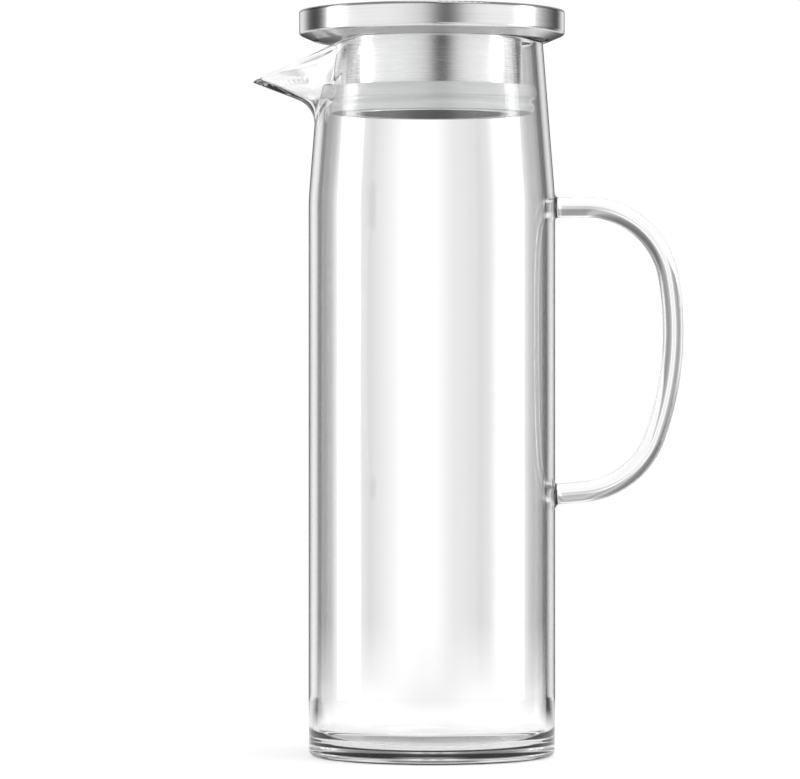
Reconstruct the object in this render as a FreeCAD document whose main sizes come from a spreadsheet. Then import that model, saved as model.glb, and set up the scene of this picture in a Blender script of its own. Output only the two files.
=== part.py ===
# Glass pitcher with a steel lid: a blown body with a pulled beak spout, a rod handle and a drawn steel
# lid whose plug carries a silicone seal. Millimetres, +Z up, the origin at the middle of the resting
# face. The spout points along -X and the handle along +X.
import FreeCAD, Part
import math
import os
import Sketcher

DRIVING_SIZES = {
    # glass body
    "body_radius": 47.5,
    "wall": 3.3,
    "base_thickness": 4.8,
    "heel_radius": 2.8,
    "floor_radius": 7.0,
    "rim_height": 276.0,
    "neck_narrowing": 4.8,
    "neck_angle": 4.5,
    "shoulder_radius": 60.0,
    # spout
    "beak_length": 27.1,
    "beak_tip_drop": 15.9,
    "beak_angle": 20.9,
    "beak_rim_angle": 22.3,
    "beak_rim_setback": 11.7,
    "beak_rim_blend_radius": 30.0,
    "beak_throat_radius": 10.0,
    "beak_wall": 2.6,
    "beak_side_radius": 50.0,
    "beak_channel_side_extra": 5.0,
    "beak_side_ease_run": 46.6,
    "beak_root_radius": 14.0,
    "beak_tip_radius": 2.2,
    "beak_channel_tip_radius": 1.0,
    # handle
    "rod_radius": 3.95,
    "handle_top_drop": 64.4,
    "handle_span": 110.6,
    "handle_bend_radius": 32.0,
    "handle_grip_radius": 122.0,
    "handle_grip_lift": 7.7,
    "handle_bottom_slant": 5.0,
    "finger_room": 41.65,
    "weld_flare": 1.9,
    "weld_edge": 0.15,
    # lid: sheet metal
    "sheet": 0.8,
    "fit": 0.1,
    "bend_inside": 0.4,
    "edge_round": 0.25,
    "cap_overhang": 8.5,
    "cap_side_rise": 9.0,
    "cap_lip_rise": 2.6,
    "cap_top_edge_radius": 0.7,
    "cap_corner_radius": 1.4,
    "cap_lip_clearance": 2.5,
    "cap_lip_drop": 0.8,
    "plate_gap": 0.4,
    "plate_step_setback": 1.2,
    "plate_step_run": 2.0,
    "pour_gap": 4.5,
    "sleeve_drop": 19.5,
    # lid: core and bottom plate
    "core_wall": 2.4,
    "core_flange": 2.0,
    "core_floor": 2.0,
    "core_rim_wall": 1.6,
    "rib_thickness": 1.6,
    "groove_depth": 3.0,
    "bottom_flange_depth": 1.0,
    "bottom_flange_rise": 1.5,
    "bottom_plate_border": 3.5,
    "bottom_plate_proud": 0.2,
    # lid: seal
    "seal_rise": 9.2,
    "seal_gap": 0.25,
    "seal_lip_round": 1.5,
    "seal_lip_run": 0.8,
    "seal_lip_lift": 0.9,
    "seal_waist_depth": 2.4,
    "seal_waist_rise": 0.8,
    "seal_foot_setback": 0.7,
    "seal_foot_lip_rise": 1.95,
    "seal_foot_taper": 1.2,
}

RIB_COUNT = 6
THROAT_STEPS = 4
BEAK_STEPS = 5
CUT_MARGIN = 10.0

doc = FreeCAD.newDocument("glass_pitcher")
sheet = doc.addObject("Spreadsheet::Sheet", "sizes")
for row, (alias, number) in enumerate(DRIVING_SIZES.items(), start=1):
    sheet.set(f"A{row}", alias)
    sheet.set(f"B{row}", str(number))
    sheet.setAlias(f"B{row}", alias)
doc.recompute()


class Size:
    """A length or angle as a number together with the sheet expression that gives it."""

    def __init__(self, number, text):
        self.number = float(number)
        self.text = text

    def __add__(self, other):
        other = as_size(other)
        return Size(self.number + other.number, f"({self.text} + {other.text})")

    def __sub__(self, other):
        other = as_size(other)
        return Size(self.number - other.number, f"({self.text} - {other.text})")

    def __mul__(self, other):
        other = as_size(other)
        return Size(self.number * other.number, f"({self.text} * {other.text})")

    def __truediv__(self, other):
        other = as_size(other)
        return Size(self.number / other.number, f"({self.text} / {other.text})")

    def __radd__(self, other):
        return as_size(other) + self

    def __rsub__(self, other):
        return as_size(other) - self

    def __rmul__(self, other):
        return as_size(other) * self

    def __neg__(self):
        return Size(-self.number, f"(0 - {self.text})")


def as_size(value):
    return value if isinstance(value, Size) else Size(value, f"{value:.6f}")


def cell(alias):
    return Size(getattr(sheet, alias), f"sizes.{alias}")


def sine(angle):
    return Size(math.sin(math.radians(angle.number)), f"sin({angle.text})")


def cosine(angle):
    return Size(math.cos(math.radians(angle.number)), f"cos({angle.text})")


def tangent(angle):
    return Size(math.tan(math.radians(angle.number)), f"tan({angle.text})")


def square_root(value):
    return Size(math.sqrt(value.number), f"sqrt({value.text})")


# ---------------------------------------------------------------------------------------------------
# Sketch helpers


def origin_feature(body, role):
    return next(f for f in body.Origin.OriginFeatures if f.Role == role)


def new_body(label):
    body = doc.addObject("PartDesign::Body", label)
    body.Label = label
    return body


def new_sketch(body, name, plane="XZ_Plane", level=None):
    sketch = body.newObject("Sketcher::SketchObject", name)
    sketch.AttachmentSupport = [(origin_feature(body, plane), "")]
    sketch.MapMode = "FlatFace"
    if level is not None:
        sketch.AttachmentOffset = FreeCAD.Placement(
            FreeCAD.Vector(0, 0, level.number), FreeCAD.Rotation()
        )
        sketch.setExpression("AttachmentOffset.Base.z", level.text)
    return sketch


def constrain(sketch, kind, *references, size=None):
    """Adds one constraint, and binds it to the sheet when it has a size."""
    if size is None:
        return sketch.addConstraint(Sketcher.Constraint(kind, *references))
    index = sketch.addConstraint(Sketcher.Constraint(kind, *references, size.number))
    sketch.setExpression(f"Constraints[{index}]", size.text)
    return index


def place_point(sketch, geometry, position, across, up):
    """Holds a point of the sketch at a place measured from the sketch's origin."""
    for kind, axis, size in (("DistanceX", -2, across), ("DistanceY", -1, up)):
        if size.text == "0.000000":
            constrain(sketch, "PointOnObject", geometry, position, axis)
        else:
            constrain(sketch, kind, -1, 1, geometry, position, size=size)


def arc_between(centre, radius, start, end):
    """A sketch arc that runs counter-clockwise from one point to another."""
    angle_start = math.atan2(start.y - centre.y, start.x - centre.x)
    angle_end = math.atan2(end.y - centre.y, end.x - centre.x)
    if angle_end < angle_start:
        angle_end += 2 * math.pi
    circle = Part.Circle(centre, FreeCAD.Vector(0, 0, 1), radius)
    return Part.ArcOfCircle(circle, angle_start, angle_end)


def corner_arc(before, corner, after, radius):
    """(arc, point where it leaves the first line, point where it meets the next, turns left or not)"""
    toward_before = (before - corner).normalize()
    toward_after = (after - corner).normalize()
    half_angle = toward_before.getAngle(toward_after) / 2
    setback = radius / math.tan(half_angle)
    leave = corner + toward_before * setback
    meet = corner + toward_after * setback
    bisector = (toward_before + toward_after).normalize()
    centre = corner + bisector * (radius / math.sin(half_angle))
    turns_left = (corner - before).cross(after - corner).z > 0
    if turns_left:
        return arc_between(centre, radius, leave, meet), leave, meet, True
    return arc_between(centre, radius, meet, leave), leave, meet, False


def draw_outline(sketch, corners):
    """Draws a closed outline of straight sides. Each corner is (across, up) or (across, up, radius)."""
    corners = [tuple(as_size(v) for v in corner) for corner in corners]
    count = len(corners)
    points = [FreeCAD.Vector(c[0].number, c[1].number, 0) for c in corners]
    starts, ends, arcs = list(points), points[1:] + points[:1], {}
    for i, corner in enumerate(corners):
        if len(corner) == 3:
            arc, leave, meet, left = corner_arc(
                points[i - 1], points[i], points[(i + 1) % count], corner[2].number
            )
            arcs[i] = (arc, left)
            ends[i - 1] = leave
            starts[i] = meet
    sides = [sketch.addGeometry(Part.LineSegment(a, b), False) for a, b in zip(starts, ends)]
    for i, corner in enumerate(corners):
        side_in, side_out = sides[i - 1], sides[i]
        if i not in arcs:
            constrain(sketch, "Coincident", side_in, 2, side_out, 1)
            place_point(sketch, side_out, 1, corner[0], corner[1])
            continue
        arc, left = arcs[i]
        bend = sketch.addGeometry(arc, False)
        first, last = (1, 2) if left else (2, 1)
        constrain(sketch, "Tangent", side_in, 2, bend, first)
        constrain(sketch, "Tangent", bend, last, side_out, 1)
        constrain(sketch, "Radius", bend, size=corner[2])
        mark = sketch.addGeometry(Part.Point(points[i]), True)
        place_point(sketch, mark, 1, corner[0], corner[1])
        constrain(sketch, "PointOnObject", mark, 1, side_in)
        constrain(sketch, "PointOnObject", mark, 1, side_out)
    return sketch


def revolve(body, name, corners, kind="PartDesign::Revolution"):
    """A turned solid, or a turned cut, about the Z axis."""
    sketch = draw_outline(new_sketch(body, name + "_profile"), corners)
    feature = body.newObject(kind, name)
    feature.Profile = sketch
    feature.ReferenceAxis = (origin_feature(body, "Z_Axis"), [""])
    feature.Angle = 360.0
    doc.recompute()
    return feature


# ---------------------------------------------------------------------------------------------------
# Glass body: the outside is a straight cylinder under a tapered neck

zero = as_size(0.0)
neck_tangent = tangent(cell("neck_angle"))
neck_wall = cell("wall") / cosine(cell("neck_angle"))
outer_mouth_radius = cell("body_radius") - cell("neck_narrowing")
inner_mouth_radius = outer_mouth_radius - neck_wall
inner_body_radius = cell("body_radius") - cell("wall")


def cone_radius(mouth_radius, height):
    """The neck's radius at a height, from its radius at the rim."""
    return mouth_radius + (cell("rim_height") - height) * neck_tangent


def shoulder_height(mouth_radius, body_radius):
    """Where the neck's cone meets the straight body."""
    return cell("rim_height") - (body_radius - mouth_radius) / neck_tangent


outer_shoulder = shoulder_height(outer_mouth_radius, cell("body_radius"))
inner_shoulder = shoulder_height(inner_mouth_radius, inner_body_radius)


class BeakForm:
    """The beak's underside in side view: up the wall, round the throat and out along a straight line."""

    def __init__(self, mouth_radius, throat_radius, line_lift):
        self.mouth_radius = mouth_radius
        self.throat_radius = throat_radius
        self.tip_reach = outer_mouth_radius + cell("beak_length")
        self.tip_height = cell("rim_height") - cell("beak_tip_drop") + line_lift
        slope = tangent(cell("beak_angle"))
        wall_offset = (
            mouth_radius
            + cell("rim_height") * neck_tangent
            + throat_radius / cosine(cell("neck_angle"))
        )
        line_offset = (
            self.tip_height - self.tip_reach * slope - throat_radius / cosine(cell("beak_angle"))
        )
        self.centre_height = (line_offset + wall_offset * slope) / (1 + neck_tangent * slope)
        self.centre_reach = wall_offset - self.centre_height * neck_tangent
        self.first_angle = 180 + cell("neck_angle")
        self.last_angle = 90 + cell("beak_angle")

    def throat_point(self, share):
        """(height, reach) on the throat's arc, from the wall at 0 to the straight underside at 1."""
        angle = self.first_angle + (self.last_angle - self.first_angle) * share
        return (
            self.centre_height + self.throat_radius * sine(angle),
            self.centre_reach + self.throat_radius * cosine(angle),
        )

    def line_point(self, share):
        """(height, reach) on the straight underside and its extension up to the rim's level."""
        start, _ = self.throat_point(1.0)
        height = start + (cell("rim_height") + CUT_MARGIN / 2 - start) * share
        reach = self.tip_reach + (height - self.tip_height) / tangent(cell("beak_angle"))
        return height, reach


def beak_section(body, name, height, mouth_radius, reach, side_radius, tip_radius):
    """One level of the beak: the mouth's circle, two hollow sides and a small round tip."""
    sketch = new_sketch(body, name, "XY_Plane", height)
    mouth, side, tip = mouth_radius.number, side_radius.number, tip_radius.number
    tip_centre_reach = reach - tip_radius
    tip_centre = FreeCAD.Vector(-tip_centre_reach.number, 0, 0)
    side_x = -((mouth + side) ** 2 - (side + tip) ** 2 + tip_centre.x**2) / (2 * -tip_centre.x)
    side_y = math.sqrt((mouth + side) ** 2 - side_x**2)
    centre = FreeCAD.Vector(0, 0, 0)
    back = FreeCAD.Vector(side_x, side_y, 0)
    front = FreeCAD.Vector(side_x, -side_y, 0)
    mouth_back = back * (mouth / (mouth + side))
    mouth_front = front * (mouth / (mouth + side))
    tip_back = tip_centre + (back - tip_centre) * (tip / (side + tip))
    tip_front = tip_centre + (front - tip_centre) * (tip / (side + tip))
    rim = sketch.addGeometry(arc_between(centre, mouth, mouth_front, mouth_back), False)
    hollow_back = sketch.addGeometry(arc_between(back, side, tip_back, mouth_back), False)
    nose = sketch.addGeometry(arc_between(tip_centre, tip, tip_back, tip_front), False)
    hollow_front = sketch.addGeometry(arc_between(front, side, mouth_front, tip_front), False)
    constrain(sketch, "Coincident", rim, 3, -1, 1)
    constrain(sketch, "PointOnObject", nose, 3, -1)
    constrain(sketch, "Tangent", rim, 2, hollow_back, 2)
    constrain(sketch, "Tangent", hollow_back, 1, nose, 1)
    constrain(sketch, "Tangent", nose, 2, hollow_front, 2)
    constrain(sketch, "Tangent", hollow_front, 1, rim, 1)
    constrain(sketch, "Equal", hollow_back, hollow_front)
    constrain(sketch, "Radius", rim, size=mouth_radius)
    constrain(sketch, "Radius", hollow_back, size=side_radius)
    constrain(sketch, "Radius", nose, size=tip_radius)
    constrain(sketch, "DistanceX", nose, 3, -1, 1, size=tip_centre_reach)
    return sketch, math.degrees(math.atan2(side_y, -side_x)), math.degrees(
        math.atan2(tip_back.y, -tip_back.x)
    )


def round_section(body, name, height, radius, split_angle, nose_angle):
    """A plain circle drawn as four arcs, so that it lofts to the beak's levels arc by arc."""
    sketch = new_sketch(body, name, "XY_Plane", height)
    circle = Part.Circle(FreeCAD.Vector(0, 0, 0), FreeCAD.Vector(0, 0, 1), radius.number)
    split, nose = math.radians(split_angle), math.radians(nose_angle)
    spans = (
        (math.pi + split, 3 * math.pi - split),
        (math.pi - split, math.pi - nose),
        (math.pi - nose, math.pi + nose),
        (math.pi + nose, math.pi + split),
    )
    arcs = [sketch.addGeometry(Part.ArcOfCircle(circle, a, b), False) for a, b in spans]
    for first, second in zip(arcs, arcs[1:] + arcs[:1]):
        constrain(sketch, "Coincident", first, 2, second, 1)
    for arc in arcs[:3]:
        constrain(sketch, "Coincident", arc, 3, -1, 1)
    constrain(sketch, "Equal", arcs[0], arcs[3])
    constrain(sketch, "Radius", arcs[0], size=radius)
    return sketch


def beak_loft(body, name, form, side_radius, tip_radius, kind):
    """The neck with its beak, from below the throat to above the rim."""
    throat = [form.throat_point(step / THROAT_STEPS) for step in range(1, THROAT_STEPS + 1)]
    line = [form.line_point(step / BEAK_STEPS) for step in range(1, BEAK_STEPS + 1)]
    throat_start, _ = form.throat_point(0.0)
    root_radius = cell("beak_root_radius")
    sections = []
    for step, (height, reach) in enumerate(throat + line):
        share = min((step + 1) / (THROAT_STEPS + 1), 1.0)
        nose_radius = root_radius + (tip_radius - root_radius) * share
        mouth_radius = cone_radius(form.mouth_radius, height)
        # Past the tip the sides are eased open, because there they would meet in the middle.
        overrun = (reach - form.tip_reach) / cell("beak_side_ease_run")
        side = side_radius * (1 + overrun * overrun) if overrun.number > 0 else side_radius
        drawn = beak_section(
            body, f"{name}_level_{step + 2}", height, mouth_radius, reach, side, nose_radius
        )
        sections.append(drawn)
    _, split_angle, nose_angle = sections[0]
    rounds = []
    for step, height in enumerate((throat_start - cell("beak_throat_radius") / 2, throat_start)):
        radius = cone_radius(form.mouth_radius, height)
        rounds.append(
            round_section(body, f"{name}_level_{step}", height, radius, split_angle, nose_angle)
        )
    sketches = rounds + [drawn[0] for drawn in sections]
    loft = body.newObject(kind, name)
    loft.Profile = sketches[0]
    loft.Sections = sketches[1:]
    loft.Ruled = False
    loft.Closed = False
    doc.recompute()
    return loft


outer_beak = BeakForm(outer_mouth_radius, cell("beak_throat_radius"), zero)
inner_beak = BeakForm(
    inner_mouth_radius,
    cell("beak_throat_radius") + cell("beak_wall"),
    cell("beak_wall") / cosine(cell("beak_angle")),
)


def loft_start(form):
    return form.throat_point(0.0)[0] - cell("beak_throat_radius") / 2


def outer_outline(top):
    """The outside of the glass below a height on the neck, with its rounded heel and soft shoulder."""
    return [
        (zero, zero),
        (cell("body_radius"), zero, cell("heel_radius")),
        (cell("body_radius"), outer_shoulder, cell("shoulder_radius")),
        (cone_radius(outer_mouth_radius, top), top),
        (zero, top),
    ]


glass_body = new_body("glass_body")
# The peg on top stands inside the neck's loft, so that the two join in more than a face.
peg = [
    (inner_mouth_radius / 2, loft_start(outer_beak)),
    (inner_mouth_radius / 2, cell("rim_height") - cell("beak_tip_drop")),
    (zero, cell("rim_height") - cell("beak_tip_drop")),
]
revolve(glass_body, "outside", outer_outline(loft_start(outer_beak))[:-1] + peg)
beak_loft(
    glass_body,
    "neck_outside",
    outer_beak,
    cell("beak_side_radius"),
    cell("beak_tip_radius"),
    "PartDesign::AdditiveLoft",
)
# The rim is level round the mouth and slopes down along the beak to its tip.
far = outer_beak.line_point(1.0)[1] + CUT_MARGIN
above = cell("rim_height") + CUT_MARGIN
rim_bend = outer_mouth_radius - cell("beak_rim_setback")
rim_fall = (far - rim_bend) * tangent(cell("beak_rim_angle"))
rim_cut_profile = draw_outline(
    new_sketch(glass_body, "rim_cut_profile"),
    [
        (-rim_bend, cell("rim_height"), cell("beak_rim_blend_radius")),
        (far, cell("rim_height")),
        (far, above),
        (-far, above),
        (-far, cell("rim_height") - rim_fall),
    ],
)
rim_cut = glass_body.newObject("PartDesign::Pocket", "rim_cut")
rim_cut.Profile = rim_cut_profile
rim_cut.Type = "ThroughAll"
rim_cut.Midplane = True
doc.recompute()

revolve(
    glass_body,
    "inside",
    [
        (zero, cell("base_thickness")),
        (inner_body_radius, cell("base_thickness"), cell("floor_radius")),
        (inner_body_radius, inner_shoulder, cell("shoulder_radius")),
        (cone_radius(inner_mouth_radius, loft_start(inner_beak)), loft_start(inner_beak)),
        (zero, loft_start(inner_beak)),
    ],
    "PartDesign::Groove",
)
beak_loft(
    glass_body,
    "neck_inside",
    inner_beak,
    cell("beak_side_radius") + cell("beak_channel_side_extra"),
    cell("beak_channel_tip_radius"),
    "PartDesign::SubtractiveLoft",
)


# ---------------------------------------------------------------------------------------------------
# Glass handle: one rod, bent and welded to the body at both ends

# The rod starts inside the body and is trimmed back to its outer face.
ROD_STUB = 6.0
FOOT_RUN = 4.0
FOOT_SINK = 0.2

glass_handle = new_body("glass_handle")
handle_top = cell("rim_height") - cell("handle_top_drop")
handle_bottom = handle_top - cell("handle_span")
grip_radius = cell("handle_grip_radius")
bend_radius = cell("handle_bend_radius")
slant = cell("handle_bottom_slant")
stub_end = cell("body_radius") - ROD_STUB
grip_reach = cell("body_radius") + cell("finger_room") + cell("rod_radius")
grip_centre = (grip_reach - grip_radius, (handle_top + handle_bottom) / 2 + cell("handle_grip_lift"))
top_bend_height = handle_top - bend_radius
top_rise = top_bend_height - grip_centre[1]
centre_gap = grip_radius - bend_radius
top_bend = (grip_centre[0] + square_root(centre_gap * centre_gap - top_rise * top_rise), top_bend_height)


def bottom_bend_centre():
    """The lower bend touches the grip's long arc and the slanting bottom leg."""
    slope = math.tan(math.radians(slant.number))
    level = handle_bottom.number + bend_radius.number / math.cos(math.radians(slant.number))
    across, up = grip_centre[0].number, grip_centre[1].number
    start = level - slope * cell("body_radius").number - up
    a = 1 + slope**2
    b = slope * start - across
    c = across**2 + start**2 - centre_gap.number**2
    reach = (-b + math.sqrt(b**2 - a * c)) / a
    return FreeCAD.Vector(reach, level + slope * (reach - cell("body_radius").number), 0)


def handle_path():
    sketch = new_sketch(glass_handle, "handle_path")
    centre_top = FreeCAD.Vector(top_bend[0].number, top_bend[1].number, 0)
    centre_grip = FreeCAD.Vector(grip_centre[0].number, grip_centre[1].number, 0)
    centre_bottom = bottom_bend_centre()
    radius, lean = bend_radius.number, math.radians(slant.number)
    start = FreeCAD.Vector(stub_end.number, handle_top.number, 0)
    into_top = centre_top + FreeCAD.Vector(0, radius, 0)
    into_grip = centre_grip + (centre_top - centre_grip).normalize() * grip_radius.number
    into_bottom = centre_grip + (centre_bottom - centre_grip).normalize() * grip_radius.number
    out_of_bottom = centre_bottom + FreeCAD.Vector(math.sin(lean), -math.cos(lean), 0) * radius
    run = (out_of_bottom.x - start.x) / math.cos(lean)
    end = out_of_bottom - FreeCAD.Vector(math.cos(lean), math.sin(lean), 0) * run
    top_leg = sketch.addGeometry(Part.LineSegment(start, into_top), False)
    bend_1 = sketch.addGeometry(arc_between(centre_top, radius, into_grip, into_top), False)
    grip = sketch.addGeometry(
        arc_between(centre_grip, grip_radius.number, into_bottom, into_grip), False
    )
    bend_2 = sketch.addGeometry(
        arc_between(centre_bottom, radius, out_of_bottom, into_bottom), False
    )
    bottom_leg = sketch.addGeometry(Part.LineSegment(out_of_bottom, end), False)
    constrain(sketch, "Tangent", top_leg, 2, bend_1, 2)
    constrain(sketch, "Tangent", bend_1, 1, grip, 2)
    constrain(sketch, "Tangent", grip, 1, bend_2, 2)
    constrain(sketch, "Tangent", bend_2, 1, bottom_leg, 1)
    constrain(sketch, "Horizontal", top_leg)
    constrain(sketch, "Radius", bend_1, size=bend_radius)
    constrain(sketch, "Radius", grip, size=grip_radius)
    constrain(sketch, "Equal", bend_1, bend_2)
    place_point(sketch, top_leg, 1, stub_end, handle_top)
    place_point(sketch, grip, 3, grip_centre[0], grip_centre[1])
    place_point(sketch, bottom_leg, 2, stub_end, handle_bottom - ROD_STUB * tangent(slant))
    return sketch


path = handle_path()
rod_section = new_sketch(glass_handle, "rod_section", "YZ_Plane", stub_end)
rod_circle = Part.Circle(
    FreeCAD.Vector(0, handle_top.number, 0),
    FreeCAD.Vector(0, 0, 1),
    cell("rod_radius").number,
)
rod_ring = rod_section.addGeometry(rod_circle, False)
constrain(rod_section, "Radius", rod_ring, size=cell("rod_radius"))
place_point(rod_section, rod_ring, 3, zero, handle_top)
rod = glass_handle.newObject("PartDesign::AdditivePipe", "rod")
rod.Profile = rod_section
rod.Spine = (path, [f"Edge{number}" for number in range(1, 6)])
doc.recompute()


def weld_foot(name, height, lean):
    """The flare where the rod is melted onto the body, turned about the leg's own line."""
    sketch = new_sketch(glass_handle, name + "_profile")
    place = FreeCAD.Vector(cell("body_radius").number, height.number, 0)
    turn = FreeCAD.Rotation(FreeCAD.Vector(0, 0, 1), lean.number)
    sketch.AttachmentOffset = FreeCAD.Placement(place, turn)
    sketch.setExpression("AttachmentOffset.Base.x", cell("body_radius").text)
    sketch.setExpression("AttachmentOffset.Base.y", height.text)
    if lean.number:
        sketch.setExpression("AttachmentOffset.Rotation.Angle", lean.text)
    foot = cell("rod_radius") + cell("weld_flare") + cell("weld_edge")
    draw_outline(
        sketch,
        [
            (-FOOT_RUN, 0.0),
            (FOOT_RUN, 0.0),
            (FOOT_RUN, cell("rod_radius")),
            (-FOOT_SINK, cell("rod_radius"), cell("weld_flare")),
            (-FOOT_SINK, foot),
            (-FOOT_RUN, foot),
        ],
    )
    feature = glass_handle.newObject("PartDesign::Revolution", name)
    feature.Profile = sketch
    feature.ReferenceAxis = (sketch, ["H_Axis"])
    feature.Angle = 360.0
    doc.recompute()


weld_foot("top_weld_foot", handle_top, zero)
weld_foot("bottom_weld_foot", handle_bottom, slant)
revolve(glass_handle, "body_side_trim", outer_outline(cell("rim_height")), "PartDesign::Groove")

# ---------------------------------------------------------------------------------------------------
# Lid: every piece is turned about the jug's axis. Heights are measured up from the rim.

plate_bottom = cell("rim_height") + cell("plate_gap")
cap_bottom = plate_bottom - cell("cap_lip_drop")
cap_side_bottom = cap_bottom + cell("cap_lip_rise")
cap_top = cap_side_bottom + cell("cap_side_rise")
cap_radius = outer_mouth_radius + cell("cap_overhang")
cap_inner_radius = cap_radius - cell("sheet")
cap_lip_radius = outer_mouth_radius + cell("cap_lip_clearance")
lip_slope = cell("cap_lip_rise") / (cap_radius - cap_lip_radius)
lip_thickness = cell("sheet") * square_root(1 + lip_slope * lip_slope)
inner_corner = cap_bottom + (cap_inner_radius - cap_lip_radius) * lip_slope + lip_thickness

lid_cap = new_body("lid_cap")
revolve(
    lid_cap,
    "cap_shell",
    [
        (zero, cap_top - cell("sheet")),
        (cap_inner_radius, cap_top - cell("sheet"), cell("bend_inside")),
        (cap_inner_radius, inner_corner, cell("bend_inside")),
        (cap_lip_radius, cap_bottom + lip_thickness),
        (cap_lip_radius, cap_bottom, cell("edge_round")),
        (cap_radius, cap_side_bottom, cell("cap_corner_radius")),
        (cap_radius, cap_top, cell("cap_top_edge_radius")),
        (zero, cap_top),
    ],
)

# The base plate closes the cap from below. It is dished, so that its middle hangs level with the lip.
filling_radius = cap_inner_radius - cell("fit")
plate_flange_bottom = inner_corner + cell("fit")
plate_flange_top = plate_flange_bottom + cell("sheet")
plate_top = plate_bottom + cell("sheet")
step_start_radius = cap_lip_radius - cell("plate_step_setback")
step_end_radius = step_start_radius + cell("plate_step_run")
bend_outside = cell("bend_inside") * 2
sleeve_radius = inner_mouth_radius - cell("pour_gap")

cap_base_plate = new_body("cap_base_plate")
revolve(
    cap_base_plate,
    "dished_plate",
    [
        (sleeve_radius, plate_bottom),
        (step_start_radius, plate_bottom, bend_outside),
        (step_end_radius, plate_flange_bottom, cell("bend_inside")),
        (filling_radius, plate_flange_bottom),
        (filling_radius, plate_flange_top),
        (step_end_radius - cell("bend_inside"), plate_flange_top, bend_outside),
        (step_start_radius - cell("bend_inside"), plate_top, cell("bend_inside")),
        (sleeve_radius, plate_top),
    ],
)

sleeve_bottom = plate_bottom - cell("sleeve_drop")
sleeve_bore = sleeve_radius - cell("sheet")

lid_sleeve = new_body("lid_sleeve")
revolve(
    lid_sleeve,
    "sleeve_tube",
    [
        (sleeve_bore, sleeve_bottom),
        (sleeve_radius, sleeve_bottom, cell("edge_round")),
        (sleeve_radius, plate_top),
        (sleeve_bore, plate_top),
    ],
)

# The moulded core fills the sleeve, holds the seal in its groove and carries the cap on its flange.
core_radius = sleeve_bore - cell("fit")
groove_radius = core_radius - cell("groove_depth")
groove_bore = groove_radius - cell("core_wall")
core_bore = core_radius - cell("core_wall")
groove_top = sleeve_bottom - cell("fit")
core_bottom = groove_top - cell("seal_rise")
groove_bottom = core_bottom + cell("bottom_flange_rise")
bottom_flange_radius = core_radius - cell("bottom_flange_depth")
bottom_plate_radius = bottom_flange_radius - cell("bottom_plate_border")
recess_top = core_bottom + cell("sheet") - cell("bottom_plate_proud")
floor_top = recess_top + cell("core_floor")
core_top = cap_top - cell("sheet")
flange_bottom = core_top - cell("core_flange")
rim_wall_bore = filling_radius - cell("core_rim_wall")

lid_core = new_body("lid_core")
revolve(
    lid_core,
    "core_moulding",
    [
        (zero, recess_top),
        (bottom_plate_radius + cell("fit"), recess_top),
        (bottom_plate_radius + cell("fit"), core_bottom),
        (bottom_flange_radius, core_bottom),
        (bottom_flange_radius, groove_bottom),
        (groove_radius, groove_bottom),
        (groove_radius, groove_top),
        (core_radius, groove_top),
        (core_radius, flange_bottom),
        (rim_wall_bore, flange_bottom),
        (rim_wall_bore, plate_flange_top),
        (filling_radius, plate_flange_top),
        (filling_radius, core_top, bend_outside),
        (core_bore, core_top),
        (core_bore, groove_top + cell("core_wall")),
        (groove_bore, groove_top + cell("core_wall") - cell("groove_depth")),
        (groove_bore, floor_top),
        (zero, floor_top),
    ],
)
rib_start = core_radius - cell("core_wall") / 2
rib_end = rim_wall_bore + cell("core_rim_wall") / 2
rib_top = flange_bottom + cell("core_flange") / 2
rib_profile = draw_outline(
    new_sketch(lid_core, "rib_profile"),
    [
        (rib_start, plate_flange_top),
        (rib_end, plate_flange_top),
        (rib_end, rib_top),
        (rib_start, rib_top),
    ],
)
rib = lid_core.newObject("PartDesign::Pad", "rib")
rib.Profile = rib_profile
rib.Length = cell("rib_thickness").number
rib.setExpression("Length", cell("rib_thickness").text)
rib.Midplane = True
doc.recompute()
ribs = lid_core.newObject("PartDesign::PolarPattern", "ribs")
ribs.Originals = [rib]
ribs.Axis = (origin_feature(lid_core, "Z_Axis"), [""])
ribs.Angle = 360.0
ribs.Occurrences = RIB_COUNT
lid_core.Tip = ribs
doc.recompute()

# The seal has a broad lip at the top, a waist and a narrower lip at the foot.
seal_bore = groove_radius + cell("fit")
seal_foot_bore = bottom_flange_radius + cell("fit")
seal_top = groove_top - cell("fit")
seal_foot_top = groove_bottom + cell("fit")
seal_middle = (seal_top + core_bottom) / 2
lip_radius = cone_radius(inner_mouth_radius, seal_top) - cell("seal_gap")
waist_radius = lip_radius - cell("seal_waist_depth")
foot_lip_radius = lip_radius - cell("seal_foot_setback")
foot_radius = foot_lip_radius - cell("seal_foot_taper")
waist_bottom = seal_middle - cell("seal_waist_rise") / 2
waist_top = seal_middle + cell("seal_waist_rise") / 2
lip_end_radius = lip_radius - cell("seal_lip_run")

seal_ring = new_body("seal_ring")
revolve(
    seal_ring,
    "seal_section",
    [
        (seal_bore, seal_foot_top),
        (seal_foot_bore, seal_foot_top),
        (seal_foot_bore, core_bottom),
        (foot_radius, core_bottom, cell("bend_inside")),
        (foot_lip_radius, core_bottom + cell("seal_foot_lip_rise"), cell("seal_lip_run")),
        (waist_radius, waist_bottom, cell("edge_round")),
        (waist_radius, waist_top, cell("edge_round")),
        (lip_end_radius, waist_top + cell("bend_inside"), cell("seal_lip_run")),
        (lip_radius, seal_top - cell("seal_lip_round"), cell("seal_lip_round")),
        (lip_end_radius, seal_top + cell("seal_lip_lift"), cell("edge_round")),
        (sleeve_radius + cell("seal_lip_run"), seal_top, cell("bend_inside")),
        (seal_bore, seal_top),
    ],
)

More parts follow.
